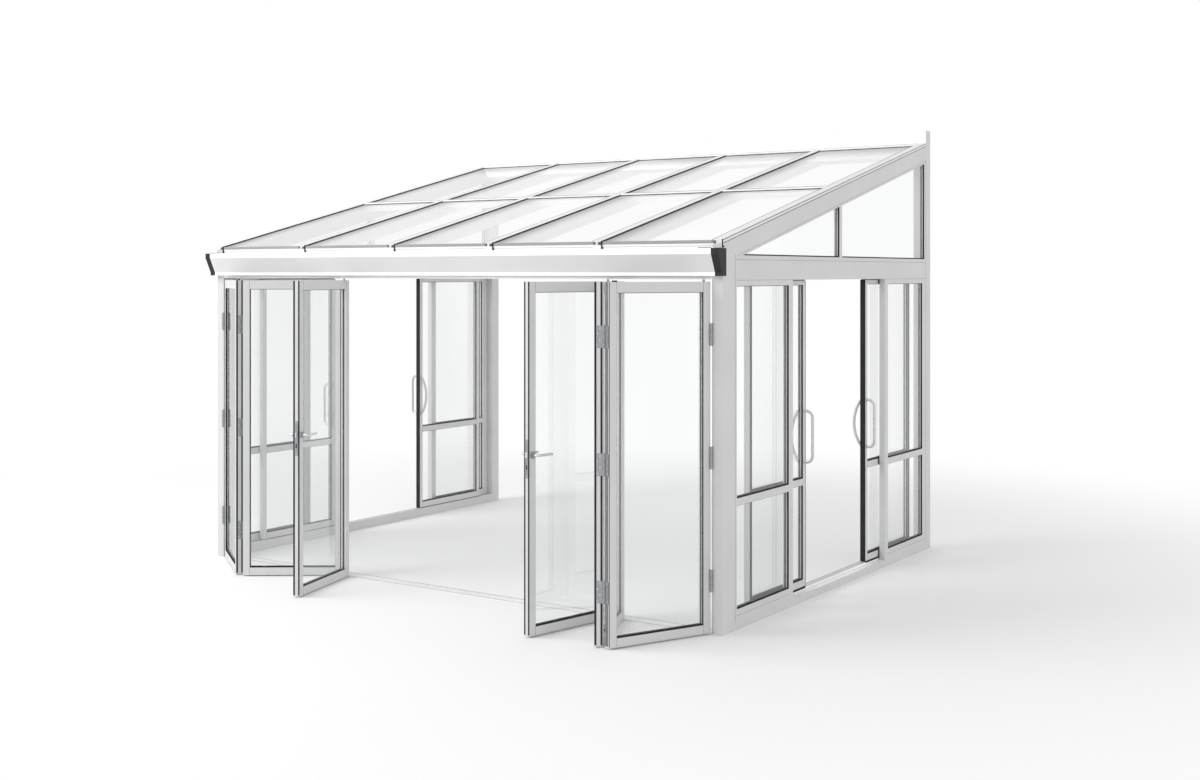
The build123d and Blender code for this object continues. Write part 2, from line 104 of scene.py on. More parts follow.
def new_material(name):
    """A material with its node tree and its shader."""
    material = bpy.data.materials.new(name)
    material.use_nodes = True
    tree = material.node_tree
    return material, tree, tree.nodes["Principled BSDF"]


def node(tree, kind, settings=(), **inputs):
    """A node with its settings and inputs set; an input that is a socket is linked."""
    made = tree.nodes.new(kind)
    for key, value in dict(settings).items():
        setattr(made, key, value)
    for key, value in inputs.items():
        numbered = key[0] == "i" and key[1:].isdigit()
        socket = made.inputs[int(key[1:]) if numbered else key.replace("_", " ")]
        if isinstance(value, bpy.types.NodeSocket):
            tree.links.new(value, socket)
        else:
            socket.default_value = value
    return made


def maths(tree, operation, first, second):
    """The result of an operation on two values."""
    return node(tree, "ShaderNodeMath", {"operation": operation}, i0=first, i1=second).outputs[0]


def mix(tree, factor, first, second):
    """A mix of two shaders."""
    return node(tree, "ShaderNodeMixShader", i0=factor, i1=first, i2=second).outputs[0]


def fade(tree, value, span, levels=(0.0, 1.0)):
    """A smooth change from one level to another over a span of values."""
    made = node(
        tree, "ShaderNodeMapRange", {"interpolation_type": "SMOOTHSTEP"},
        Value=value, From_Min=span[0], From_Max=span[1], To_Min=levels[0], To_Max=levels[1],
    )
    return made.outputs[0]


def coordinates(tree, stretch=(1, 1, 1)):
    """Object coordinates in metres, stretched."""
    source = node(tree, "ShaderNodeTexCoord").outputs["Object"]
    return node(tree, "ShaderNodeMapping", Vector=source, Scale=stretch).outputs[0]


def noise(tree, scale, detail=2.0, stretch=(1, 1, 1)):
    """A noise value from 0 to 1."""
    place = coordinates(tree, stretch)
    return node(tree, "ShaderNodeTexNoise", Vector=place, Scale=scale, Detail=detail).outputs["Fac"]


def spread(tree, value, low, high):
    """A noise value stretched over a range."""
    made = node(
        tree, "ShaderNodeMapRange",
        Value=value, From_Min=NOISE_RANGE[0], From_Max=NOISE_RANGE[1], To_Min=low, To_Max=high,
    )
    return made.outputs[0]


def shaded(tree, colour, value, low, high):
    """A colour that a value makes darker or lighter."""
    factor = spread(tree, value, low, high)
    hue = node(tree, "ShaderNodeHueSaturation", Color=(*colour, 1), Value=factor)
    return hue.outputs[0]


def bump(tree, height, distance, strength):
    """A bump normal from a height."""
    return node(tree, "ShaderNodeBump", Height=height, Distance=distance, Strength=strength).outputs[0]


def detail(tree, shader, colour, roughness, normal):
    """Link the three sockets that carry the detail of a surface."""
    tree.links.new(colour, shader.inputs["Base Color"])
    tree.links.new(roughness, shader.inputs["Roughness"])
    tree.links.new(normal, shader.inputs["Normal"])


def coat(name, colour, roughness):
    """Powder coat: a faint mottle, a fine orange peel and slightly uneven gloss."""
    material, tree, shader = new_material(name)
    mottled = shaded(tree, colour, noise(tree, *COAT_MOTTLE), *COAT_SHADES)
    gloss = spread(tree, noise(tree, *COAT_GLOSS), roughness - COAT_UNEVEN, roughness + COAT_UNEVEN)
    peel = bump(tree, noise(tree, *COAT_PEEL), *COAT_BUMP)
    detail(tree, shader, mottled, gloss, peel)
    shader.inputs["Specular IOR Level"].default_value = COAT_SPECULAR
    return material


def metal(name, colour, roughness, stretch, grain):
    """Brushed or polished metal, its grain along one direction."""
    material, tree, shader = new_material(name)
    lines = noise(tree, grain, METAL_DETAIL, stretch)
    brushed = shaded(tree, colour, lines, *METAL_SHADES)
    gloss = spread(tree, lines, *[roughness * factor for factor in METAL_UNEVEN])
    detail(tree, shader, brushed, gloss, bump(tree, lines, *METAL_BUMP))
    shader.inputs["Metallic"].default_value = 1
    return material


def matt(name, colour, roughness, grain):
    """Rubber or moulded plastic with a fine matt grain."""
    material, tree, shader = new_material(name)
    mottled = shaded(tree, colour, noise(tree, *MATT_MOTTLE), *MATT_SHADES)
    patches = noise(tree, grain / MATT_PATCH)
    gloss = spread(tree, patches, roughness - MATT_UNEVEN, roughness + MATT_UNEVEN)
    detail(tree, shader, mottled, gloss, bump(tree, noise(tree, grain), *MATT_BUMP))
    shader.inputs["Specular IOR Level"].default_value = MATT_SPECULAR
    return material


def roof_painted_shade(tree):
    """From 0 to 1: painted shade on the panes, to the right of the caps and under the ridge, in uneven
    patches.
    """
    place = node(tree, "ShaderNodeSeparateXYZ", Vector=coordinates(tree))
    across = maths(tree, "ADD", place.outputs["X"], BAYS_ADDED * BAY)
    side = fade(tree, maths(tree, "FLOORED_MODULO", across, BAY), PAINTED_SHADE_SIDE, (1.0, 0.0))
    top = fade(tree, place.outputs["Y"], PAINTED_SHADE_TOP)
    cover = spread(tree, noise(tree, *PAINTED_SHADE_PATCHES), *PAINTED_SHADE_COVER)
    return maths(tree, "MULTIPLY", maths(tree, "MAXIMUM", side, top), cover)


def clear(name, tint, cloud, index, surfaces, painted_shade=None):
    """Clear glass with a faint uneven tint, which reflects by the angle where light enters it."""
    material, tree, shader = new_material(name)
    tree.nodes.remove(shader)
    colour = shaded(tree, tint, noise(tree, *GLASS_CLOUDS, GLASS_STRETCH), 1 - cloud, 1)
    through = node(tree, "ShaderNodeBsdfTransparent", Color=colour).outputs[0]
    roughness = spread(tree, noise(tree, *GLASS_GLOSS), *GLASS_ROUGHNESS)
    gloss = node(tree, "ShaderNodeBsdfGlossy", Color=WHITE, Roughness=roughness).outputs[0]
    fresnel = node(tree, "ShaderNodeFresnel", IOR=index).outputs[0]
    passed = maths(tree, "POWER", maths(tree, "SUBTRACT", 1.0, fresnel), surfaces)
    leaving = node(tree, "ShaderNodeNewGeometry").outputs["Backfacing"]
    entering = maths(tree, "SUBTRACT", 1.0, leaving)
    shine = maths(tree, "MULTIPLY", maths(tree, "SUBTRACT", 1.0, passed), entering)
    mixed = mix(tree, shine, through, gloss)
    # Painted shade: where given, a dark diffuse film is mixed over the glass
    if painted_shade:
        shade_film = node(tree, "ShaderNodeBsdfDiffuse", Color=PAINTED_SHADE_COLOUR).outputs[0]
        mixed = mix(tree, painted_shade(tree), mixed, shade_film)
    tree.links.new(mixed, tree.nodes["Material Output"].inputs["Surface"])
    return material


grey_coat = coat("grey_powder_coat", (0.60, 0.60, 0.60), 0.42)
white_coat = coat("white_powder_coat", (0.92, 0.92, 0.915), 0.40)
mill = metal("mill_aluminium", (0.72, 0.72, 0.73), 0.35, (1, 60, 60), 12)
steel = metal("satin_steel", (0.62, 0.62, 0.63), 0.28, (40, 40, 2), 20)
hinge_metal = metal("hinge_steel", (0.36, 0.37, 0.39), 0.38, (40, 40, 4), 25)
chrome = metal("polished_chrome", (0.68, 0.68, 0.70), 0.1, (30, 30, 30), 3)
plastic = matt("dark_plastic", (0.030, 0.030, 0.032), 0.5, 700)
rubber = matt("black_seal", (0.025, 0.025, 0.025), 0.75, 900)
grey_rubber = matt("grey_seal", (0.19, 0.19, 0.19), 0.55, 900)
spacer_coat = coat("spacer_aluminium", (0.88, 0.88, 0.88), 0.45)
# A darker copy of the white coat: painted shade for the sloping face of the gutter
gutter_shade_coat = coat("gutter_face_painted_shade", (0.65, 0.65, 0.65), 0.45)
cap_coat = coat("cap_coat", (0.73, 0.73, 0.73), 0.45)
edge_coat = coat("pane_edge_coat", (0.34, 0.34, 0.34), 0.45)
pale_mill = coat("threshold_aluminium", (0.86, 0.86, 0.86), 0.35)

# One surface with a raised index reflects about as much as the four surfaces of a double-glazed unit
clear_glass = clear("clear_glass", (0.982, 0.987, 0.987), 0.025, 2.2, 1)
# The roof panes carry painted shade to the right of the caps and under the ridge
roof_pane = clear("roof_pane_glass", (0.97, 0.972, 0.972), 0.04, 1.5, 2, roof_painted_shade)

# Materials by the name of a CAD node, and by how its name ends
NODE_FINISHES = {
    "roof_glass": roof_pane,
    "gutter_end_caps": plastic,
    "front_threshold": pale_mill,
    "glazing_caps": cap_coat,
}
ENDING_FINISHES = {
    "glass": clear_glass,
    "seal": rubber,
    "slider_handles": steel,
    "leaf_hinges": hinge_metal,
    "lock_furniture": hinge_metal,
    "lever_handle": chrome,
}

# How far a normal reaches along an axis that its face looks along, or only leans towards
LOOKS = 0.5
LEANS = 0.2


def finish_of(name):
    """The material of a CAD node."""
    if name in NODE_FINISHES:
        return NODE_FINISHES[name]
    for ending, finish in ENDING_FINISHES.items():
        if name.endswith(ending):
            return finish
    return white_coat if name in WHITE_NODES else grey_coat


def recoat(name, material, chosen):
    """Give the chosen faces of a CAD node a second material."""
    mesh = nodes[name].data
    mesh.materials.append(material)
    for face in mesh.polygons:
        if chosen(face.normal):
            face.material_index = 1


for name, piece in nodes.items():
    piece.data.materials.clear()
    piece.data.materials.append(finish_of(name))
    for face in piece.data.polygons:
        face.material_index = 0

# Painted shade: the sloping front face of the gutter gets a darker copy of the white coat, so it is
# less bright than its lips
recoat("gutter", gutter_shade_coat, lambda normal: normal.y < -LOOKS and normal.z < -LEANS)
# Painted shade: the ends of the white wall plate get the grey coat, so the plate has grey ends as if
# shaded
recoat("wall_plate", grey_coat, lambda normal: abs(normal.x) > LOOKS)


# What the added pieces are made of, and the slots of their materials
KINDS = {
    "seals": (rubber, "black_seal"),
    "grey_seals": (grey_rubber, "black_seal"),
    "joints": (plastic, "dark_plastic"),
    "spacers": (spacer_coat, "mill_aluminium"),
    "trims": (mill, "mill_aluminium"),
    "edges": (edge_coat, "grey_powder_coat"),
    # White coat strips over the grey sill: painted light
    "painted_light_strips": (white_coat, "white_powder_coat"),
    "pins": (hinge_metal, "hinge_steel"),
    "screws": (steel, "satin_steel"),
}


def body_of(name):
    """The moving body that a CAD node belongs to."""
    for body, members in frame["record"]["behaviour"]["bodies"].items():
        if name in members:
            return body
    return "frame"


def box_of(name):
    """The lowest and highest corners of a CAD node."""
    points = [vertex.co for vertex in nodes[name].data.vertices]
    low = Vector([min(point[i] for point in points) for i in range(3)])
    high = Vector([max(point[i] for point in points) for i in range(3)])
    return low, high


def new_kit():
    """An empty mesh for each kind of added piece."""
    return {kind: bmesh.new() for kind in KINDS}


def add_piece(name, mesh, material, body):
    """Put a finished mesh in the scene as a piece that rides on a body."""
    data = bpy.data.meshes.new(name)
    bmesh.ops.recalc_face_normals(mesh, faces=mesh.faces)
    mesh.to_mesh(data)
    mesh.free()
    data.materials.append(material)
    piece = bpy.data.objects.new(name, data)
    bpy.context.collection.objects.link(piece)
    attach(piece, body)


def finish_kit(prefix, kit, body):
    """Make pieces of the meshes in a kit that are not empty."""
    for kind, mesh in kit.items():
        material, slot = KINDS[kind]
        if mesh.faces:
            add_piece(f"{prefix}_{kind}", mesh, material, body)
        else:
            mesh.free()


# The usual height and width of a joint line, and the sides of small turned shapes
SEAM_RISE = 0.0003
SEAM_WIDTH = 0.0014
SMALL_SEGMENTS = 12


def place_of(origin, along, inward, up=(0, 0, 1)):
    """A place on the object: x runs along a piece, y from its outer face inwards, z upwards."""
    matrix = Matrix((along, inward, up)).transposed().to_4x4()
    matrix.translation = origin
    return matrix


def facing(place, point, direction):
    """A place at a local point whose z axis points along a local direction."""
    turn = (place.to_3x3() @ Vector(direction)).to_track_quat("Z", "Y").to_matrix().to_4x4()
    return Matrix.Translation(place @ Vector(point)) @ turn


def strip(mesh, place, axes, span, sides, base, rise):
    """A raised strip with chamfered edges; axes names the directions of its length, width and rise."""
    order = ["xyz".index(axis) for axis in axes]
    low, high = sides
    chamfer = min(abs(rise) / 2, (high - low) / 4)
    section = ((low, base), (low + chamfer, base + rise), (high - chamfer, base + rise), (high, base))
    ends = []
    for reach in span:
        ring = []
        for across, over in section:
            local = Vector((0, 0, 0))
            for axis, value in zip(order, (reach, across, over)):
                local[axis] = value
            ring.append(mesh.verts.new(place @ local))
        ends.append(ring)
    first, last = ends
    mesh.faces.new(first)
    mesh.faces.new(last)
    for i in range(len(section)):
        j = (i + 1) % len(section)
        mesh.faces.new((first[i], first[j], last[j], last[i]))


def seam(mesh, place, axes, span, middle, base=0.0, rise=-SEAM_RISE, width=SEAM_WIDTH):
    """A thin joint line on a face."""
    strip(mesh, place, axes, span, (middle - width / 2, middle + width / 2), base, rise)


def lathe(mesh, place, profile, segments=20):
    """A turned shape round the z axis of a place. The profile is (radius, height)."""
    rings = []
    for radius, height in profile:
        turns = [2 * math.pi * i / segments for i in range(segments)]
        points = [Vector((radius * math.cos(turn), radius * math.sin(turn), height)) for turn in turns]
        rings.append([mesh.verts.new(place @ point) for point in points])
    for lower, upper in zip(rings[:-1], rings[1:]):
        for i in range(segments):
            j = (i + 1) % segments
            mesh.faces.new((lower[i], lower[j], upper[j], upper[i]))
    mesh.faces.new(rings[0])
    mesh.faces.new(rings[-1])


# Vertices closer than this are one, corners straighter than this are none, and levels closer are equal
MERGE_DISTANCE = 1e-5
STRAIGHT = 1e-3
LEVEL_DISTANCE = 1e-4

# Round each pane, as (distance in from the sight line, height over the face of the glass)
LINING = ((0, 0), (0.0026, 0), (0.0015, 0.0040), (0.0014, 0.0110), (0.0008, 0.0114), (0, 0.0114))
SPACER = ((0.0002, -0.0004), (0.0010, -0.0004), (0.0013, -0.0020), (0.0013, -0.0078), (0.0002, -0.0084))
SEALANT = ((0.0002, -0.0088), (0.0036, -0.0088), (0.0036, -0.0196), (0.0002, -0.0196))
INNER_GASKET = ((0, 0), (0.0020, 0), (0.0016, 0.0018), (0, 0.0020))
FOOT_HEIGHT = 0.0085
FOOT_DEPTH = 0.0040

# Panes sit this far in their frames and behind their faces, but the gable panes end at the sight line
GLASS_SEAT = 0.010
GLASS_RECESS = 0.012
GABLE_HEIGHT = 2.2


def islands_of(mesh):
    """The connected groups of faces in a mesh."""
    waiting = dict.fromkeys(mesh.faces)
    found = []
    while waiting:
        island = []
        reached = [waiting.popitem()[0]]
        while reached:
            face = reached.pop()
            island.append(face)
            for edge in face.edges:
                for other in edge.link_faces:
                    if other in waiting:
                        del waiting[other]
                        reached.append(other)
        found.append(island)
    return found


def corners_of(faces):
    """The corners of a flat group of faces, in order round its border."""
    following = {}
    for face in faces:
        for loop in face.loops:
            inside = [other for other in loop.edge.link_faces if other in faces]
            if len(inside) == 1:
                following[loop.vert] = loop.link_loop_next.vert
    ring = [next(iter(following))]
    while following[ring[-1]] is not ring[0]:
        ring.append(following[ring[-1]])
    points = [vert.co.copy() for vert in ring]
    corners = []
    for i, point in enumerate(points):
        before = (point - points[i - 1]).normalized()
        after = (points[(i + 1) % len(points)] - point).normalized()
        if before.cross(after).length > STRAIGHT:
            corners.append(point)
    return corners


def panes_of(name):
    """The two broad faces of each pane in a glass node: their corners in order, and their normals."""
    mesh = bmesh.new()
    mesh.from_mesh(nodes[name].data)
    bmesh.ops.remove_doubles(mesh, verts=mesh.verts, dist=MERGE_DISTANCE)
    mesh.normal_update()
    found = []
    for island in islands_of(mesh):
        groups = {}
        for face in island:
            key = tuple(round(value, 3) for value in face.normal)
            groups.setdefault(key, []).append(face)
        by_area = sorted(groups.values(), key=lambda faces: -sum(face.calc_area() for face in faces))
        found.append([(corners_of(faces), faces[0].normal.copy()) for faces in by_area[:2]])
    mesh.free()
    return found


def is_inner(normal, name):
    """True for the face of a pane that looks into the room."""
    if "folding" in name:
        return normal.y > 0
    return normal.x < 0 if name.startswith("right") else normal.x > 0


def add_ring(mesh, corners, normal, profile, seat):
    """A mitred ring round a pane, whose border lies a seat behind the sight line."""
    count = len(corners)
    ways = [(corners[(i + 1) % count] - corners[i]).normalized() for i in range(count)]
    inward = [normal.cross(way) for way in ways]
    rows = []
    for i, corner in enumerate(corners):
        before, after = inward[i - 1], inward[i]
        mitre = (before + after) / (1 + before.dot(after))
        points = [corner + mitre * (seat + across) + normal * up for across, up in profile]
        rows.append([mesh.verts.new(point) for point in points])
    for i in range(count):
        low, high = rows[i], rows[(i + 1) % count]
        for j in range(len(profile)):
            k = (j + 1) % len(profile)
            mesh.faces.new((low[j], low[k], high[k], high[j]))


def add_foot(mesh, corners, normal, seat):
    """The upright gasket along the bottom of a pane, on one of its faces."""
    low = min(corner.z for corner in corners)
    first, last = [corner for corner in corners if corner.z < low + LEVEL_DISTANCE]
    reach = (last - first).length
    place = place_of(first + Vector((0, 0, seat)), (last - first) / reach, -normal)
    strip(mesh, place, "xzy", (seat, reach - seat), (0, FOOT_HEIGHT), 0, -FOOT_DEPTH)


for name in GLASS_NODES:
    kit = new_kit()
    for pane in panes_of(name):
        for corners, normal in pane:
            seat = 0 if min(corner.z for corner in corners) > GABLE_HEIGHT else GLASS_SEAT
            if is_inner(normal, name):
                add_ring(kit["seals"], corners, normal, INNER_GASKET, seat)
            else:
                add_ring(kit["seals"], corners, normal, LINING, seat)
                add_ring(kit["seals"], corners, normal, SEALANT, seat)
                add_ring(kit["spacers"], corners, normal, SPACER, seat)
            add_foot(kit["seals"], corners, normal, seat)
    finish_kit(name, kit, body_of(name))


# Folding leaves: the hinges on the first and second edges of each, named by their knuckle's face
LEAF_HINGES = {1: ("outer", "inner"), 2: ("inner", "outer"), 3: ("outer", None)}
STILE = 0.048
LEAF_DEPTH = 0.048
BOTTOM_RAIL = 0.054
TOP_RAIL = 0.062

HINGE_LEVELS = (0.323, 1.058, 1.796)
HINGE_HALF = 0.065
HINGE_PLATE = 0.0015
PLATE_MIDDLE = {"outer": 0.022, "inner": 0.026}
PLATE_SCREWS = (-0.050, -0.018, 0.018, 0.050)
SCREW_STAGGER = 0.007
KNUCKLE_OFFSET = 0.010
KNUCKLE_GAP = 0.002

LEVER_LEVEL = 1.084
LATCH_HALF = 0.016
LATCH_DEPTHS = (0.016, 0.032)
LATCH_RISE = 0.009
LOCK_LEVEL = 1.061
LOCK_HALF = 0.103
LOCK_PLATE = 0.002
BOLT_DROPS = (0.064, 0.036)
BOLT_DEPTHS = (0.019, 0.029)
BOLT_RISE = 0.0004

# Seals on the edges of the leaves, over their depth, and how far they stand out
OUTER_SEAL = (0.0002, 0.0125)
NARROW_SEAL = (0.0002, 0.0075)
INNER_SEAL = (0.0365, 0.0478)
GROOVE = (0.0200, 0.0262)
CARRIER = (0.0262, 0.0478)
OUTER_SEAL_RISE = 0.0022
INNER_SEAL_RISE = 0.0018
GROOVE_RISE = 0.0010
CARRIER_RISE = 0.0014
SEAL_START = 0.008

DRIP_INSET = 0.003
DRIP_LEVELS = (0.0005, 0.0055)
DRIP_RISE = 0.0015
TRACK_PIN_REACH = 0.030
GUIDE_REACHES = (0.062, 0.036)
GUIDE_DEPTHS = (0.014, 0.034)
GUIDE_RISE = 0.009

# Turned shapes, as (radius, height)
SCREW = ((0.0048, 0), (0.0046, 0.0005), (0.0022, 0.0006), (0.0018, 0.0001))
KNUCKLE_SPLIT = ((0.0096, -0.0007), (0.0100, -0.0005), (0.0100, 0.0005), (0.0096, 0.0007))
KNUCKLE_END = ((0.0096, 0), (0.0088, 0.0016), (0.0050, 0.0026), (0.0020, 0.0028))
TRACK_PIN = ((0.0080, 0), (0.0080, 0.0090), (0.0060, 0.0105), (0.0060, 0.0136))


def gaps_between(low, high, cuts):
    """The spans that are left of a length when cuts are taken out of it."""
    spans = []
    for cut_low, cut_high in cuts:
        spans.append((low, cut_low))
        low = cut_high
    return spans + [(low, high)]


def leaf_places(side):
    """Where the leaves of a group stand, from the post on: their places and widths."""
    name = f"{side}_folding_glass"
    border = STILE - GLASS_SEAT
    found = []
    for pane in panes_of(name):
        for corners, normal in pane:
            if is_inner(normal, name):
                continue
            along = Vector((normal.y, -normal.x, 0)).normalized()
            if along.x * corners[0].x > 0:
                along = -along
            reaches = [corner.dot(along) for corner in corners]
            depth = corners[0].dot(-normal) - GLASS_RECESS
            origin = along * (min(reaches) - border) - normal * depth
            width = max(reaches) - min(reaches) + 2 * border
            found.append((place_of(origin, along, -normal), width))
    return sorted(found, key=lambda entry: -abs(entry[0].translation.x))


def dress_hinge(kit, place, level, edge, way, hinge):
    """The screws of a hinge plate, and the splits and ends of the knuckle beside it."""
    for i, rise in enumerate(PLATE_SCREWS):
        across = PLATE_MIDDLE[hinge] + (SCREW_STAGGER if i % 2 else -SCREW_STAGGER)
        spot = (edge + way * HINGE_PLATE, across, level + rise)
        lathe(kit["screws"], facing(place, spot, (way, 0, 0)), SCREW, SMALL_SEGMENTS)
    # Two plates share a knuckle, so only one of them dresses it
    if (hinge == "outer") != (way < 0):
        return
    depth = -KNUCKLE_OFFSET if hinge == "outer" else LEAF_DEPTH + KNUCKLE_OFFSET
    middle = edge + way * KNUCKLE_GAP
    for rise in (-HINGE_HALF / 3, HINGE_HALF / 3):
        lathe(kit["joints"], facing(place, (middle, depth, level + rise), (0, 0, 1)), KNUCKLE_SPLIT)
    for turn in (-1, 1):
        spot = (middle, depth, level + turn * HINGE_HALF)
        lathe(kit["pins"], facing(place, spot, (0, 0, turn)), KNUCKLE_END)


def dress_edge(kit, place, span, edge, way, hinge, narrow):
    """The seals and hinge details on one upright edge of a leaf."""
    cuts = [(level - HINGE_HALF, level + HINGE_HALF) for level in HINGE_LEVELS] if hinge else []
    low, high = span
    outer = NARROW_SEAL if narrow else OUTER_SEAL
    for part in gaps_between(low, high, cuts if hinge == "outer" else []):
        strip(kit["seals"], place, "zyx", part, outer, edge, way * OUTER_SEAL_RISE)
    for part in gaps_between(low, high, cuts):
        if narrow:
            strip(kit["seals"], place, "zyx", part, GROOVE, edge, way * GROOVE_RISE)
            strip(kit["grey_seals"], place, "zyx", part, CARRIER, edge, way * CARRIER_RISE)
        else:
            strip(kit["seals"], place, "zyx", part, INNER_SEAL, edge, way * INNER_SEAL_RISE)
    if hinge:
        for level in HINGE_LEVELS:
            dress_hinge(kit, place, level, edge, way, hinge)


def dress_lock(kit, place, width):
    """The latch, the bolt's slot and the screws on the lock plate of a free edge."""
    face = width + LOCK_PLATE
    latch = (LEVER_LEVEL - LATCH_HALF, LEVER_LEVEL + LATCH_HALF)
    bolt = [LOCK_LEVEL - drop for drop in BOLT_DROPS]
    strip(kit["trims"], place, "zyx", latch, LATCH_DEPTHS, face, LATCH_RISE)
    strip(kit["joints"], place, "zyx", bolt, BOLT_DEPTHS, face, BOLT_RISE)
    for rise in (-LOCK_HALF, LOCK_HALF):
        spot = (face, LEAF_DEPTH / 2, LOCK_LEVEL + rise)
        lathe(kit["screws"], facing(place, spot, (1, 0, 0)), SCREW, SMALL_SEGMENTS)


def dress_leaf(kit, number, place, width, low, high):
    """The seals, joint lines and fittings of one leaf."""
    first, second = LEAF_HINGES[number]
    seal_span = (low + SEAL_START, high)
    # The first leaf on the right shows narrower seals beside a grey carrier
    narrow = number == 1 and place.translation.x > 0
    dress_edge(kit, place, seal_span, 0.0, -1, first, False)
    dress_edge(kit, place, seal_span, width, 1, second, narrow)
    for base, rise in ((0.0, -SEAM_RISE), (LEAF_DEPTH, SEAM_RISE)):
        for x in (STILE, width - STILE):
            seam(kit["joints"], place, "zxy", (low, low + BOTTOM_RAIL), x, base, rise)
            seam(kit["joints"], place, "zxy", (high - TOP_RAIL, high), x, base, rise)
    drip = [low + level for level in DRIP_LEVELS]
    strip(kit["trims"], place, "xzy", (DRIP_INSET, width - DRIP_INSET), drip, 0.0, -DRIP_RISE)
    if first == "outer":
        spot = (TRACK_PIN_REACH, LEAF_DEPTH / 2, high)
        lathe(kit["pins"], facing(place, spot, (0, 0, 1)), TRACK_PIN)
    if number == 1:
        guide = [width - reach for reach in GUIDE_REACHES]
        strip(kit["joints"], place, "xyz", guide, GUIDE_DEPTHS, high, GUIDE_RISE)
    if second is None:
        dress_lock(kit, place, width)


for side in ("right", "left"):
    kit = new_kit()
    for number, (place, width) in enumerate(leaf_places(side), 1):
        low, high = box_of(f"{side}_folding_leaf_{number}")
        dress_leaf(kit, number, place, width, low.z, high.z)
    finish_kit(f"{side}_leaf", kit, "frame")


# The front face and the slope of the roof
FRONT_FACE = -0.050
PITCH = math.radians(14)
RAFTER_TOP = 2.341
RAFTER_HEIGHT = 0.102
CAP_SEAT = 0.020
CAP_TOP = 0.026

# Side walls
WALL_X = 2.200
SLIDER_X = 2.152
SLIDER_DEPTH = 0.038
SLIDER_STILE = 0.036
SLIDER_LOW = 0.076
SLIDER_HIGH = 2.114
MEETING_STILE = 0.060
RAILS = ((0.076, 0.124), (0.752, 0.797), (2.085, 2.114))
PANEL_FOOT = 0.087
GABLE_BEAD = 0.030

# The sill in the doorway: a white strip on the ledge and one on the riser, painted light that makes the
# grey sill look lit, and the lines of the track
LEDGE = 0.050
LEDGE_STRIP = (0.008, 0.046)
LEDGE_RISE = 0.0012
RISER_STRIP = (0.0515, 0.0700)
RISER_RISE = 0.0005
SILL_TOP = 0.071
TRACK_LINES = (0.052, 0.082)
TRACK_LINE_WIDTH = 0.0030
POST_LINE_WIDTH = 0.0020
CAP_LINE_WIDTH = 0.0040

# The strips inside the meeting stiles, which the brushes of the sliding leaves pass
STILE_STRIP_REACHES = (-0.020, 0.012)
STILE_STRIP_DEPTH = 0.0421
STILE_STRIP_RISE = 0.0035

# Brushes on the sliding leaves, and the skirt over their tracks
BRUSH_SIDES = (0.005, 0.031)
BRUSH_DEPTHS = ((0.003, 0.011), (0.027, 0.035))
BRUSH_RISE = 0.0020
BRUSH_INSET = 0.002
LOW_BRUSH_RISE = 0.0044
HIGH_BRUSH_RISE = 0.0054
SKIRT_LEVELS = (0.0625, 0.0775)
SKIRT_GAP = 0.0006
SKIRT_RISE = 0.0012


def side_place(sign, x):
    """A place on a side: x runs to the back, y into the room."""
    return place_of((sign * x, 0, 0), (0, 1, 0), (-sign, 0, 0))


def slope_place(x, inward):
    """A place at the front of the roof: x runs up the slope, z away from it."""
    along = (0, math.cos(PITCH), math.sin(PITCH))
    up = (0, -math.sin(PITCH), math.cos(PITCH))
    return place_of((x, FRONT_FACE, RAFTER_TOP), along, inward, up)


def up_pitch(y):
    """The distance up the slope from the front face to a place y."""
    return (y - FRONT_FACE) / math.cos(PITCH)


def rafter_base(y):
    """The height of the undersides of the rafters."""
    return RAFTER_TOP - RAFTER_HEIGHT + math.tan(PITCH) * (y - FRONT_FACE)


def dress_wall(kit, side, sign):
    """The joint lines of a side wall, the strips in its meeting stiles, and its sill in the doorway."""
    wall = side_place(sign, WALL_X)
    beam_low, beam_high = box_of(f"{side}_transom")
    for end, way in (("front", 1), ("back", -1)):
        low, high = box_of(f"{side}_{end}_fixed_frame")
        foot = (low.y, high.y - MEETING_STILE) if way > 0 else (low.y + MEETING_STILE, high.y)
        stile = high.y if way > 0 else low.y
        reaches = sorted(stile + way * reach for reach in STILE_STRIP_REACHES)
        seam(kit["joints"], wall, "xzy", foot, PANEL_FOOT)
        seam(kit["joints"], wall, "xzy", (low.y, high.y), high.z)
        for rail in RAILS:
            strip(kit["seals"], wall, "zxy", rail, reaches, STILE_STRIP_DEPTH, STILE_STRIP_RISE)
    seam(kit["joints"], wall, "xzy", (beam_low.y, beam_high.y), beam_high.z)
    doorway = (box_of(f"{side}_front_fixed_frame")[1].y, box_of(f"{side}_back_fixed_frame")[0].y)
    # Painted light: white strips over the grey ledge and riser make them look lit
    strip(kit["painted_light_strips"], wall, "xyz", doorway, LEDGE_STRIP, LEDGE, LEDGE_RISE)
    strip(kit["painted_light_strips"], wall, "xzy", doorway, RISER_STRIP, WALL_X - SLIDER_X, -RISER_RISE)
    for depth in TRACK_LINES:
        seam(kit["joints"], wall, "xyz", doorway, depth, SILL_TOP, SEAM_RISE, TRACK_LINE_WIDTH)
    for y in (beam_low.y, beam_high.y):
        seam(kit["joints"], wall, "zxy", (LEDGE, rafter_base(y)), y, width=POST_LINE_WIDTH)
    slant = slope_place(sign * WALL_X, (-sign, 0, 0))
    front, back = up_pitch(beam_low.y), up_pitch(beam_high.y)
    bead_line = -(RAFTER_HEIGHT + GABLE_BEAD / 2) * math.cos(PITCH)
    seam(kit["joints"], slant, "xzy", (front, back), bead_line)
    for rise in (0, CAP_SEAT):
        seam(kit["joints"], slant, "xzy", (0, back), rise * math.cos(PITCH), width=CAP_LINE_WIDTH)


